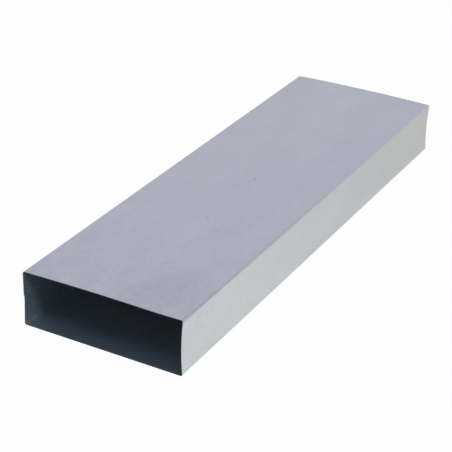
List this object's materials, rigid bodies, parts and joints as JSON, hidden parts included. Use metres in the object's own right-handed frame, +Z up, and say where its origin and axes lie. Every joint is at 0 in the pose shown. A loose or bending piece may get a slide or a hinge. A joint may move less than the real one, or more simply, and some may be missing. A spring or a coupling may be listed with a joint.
{
  "type": "flat channel duct",
  "caption": "Straight flat rectangular duct length folded from thin galvanised sheet, open at both ends, with a spot-welded lap seam along one narrow wall.",
  "frame": {"origin": "middle of the base, on the floor that the duct lies on", "axes": "+Y along the duct's length, +X across its width away from the seam wall, +Z up through its height"},
  "size_m": [0.15, 0.5, 0.0511],
  "materials": {
    "galvanised_sheet": "satin"
  },
  "bodies": {
    "root": {"duct": "galvanised_sheet"}
  },
  "joints": []
}
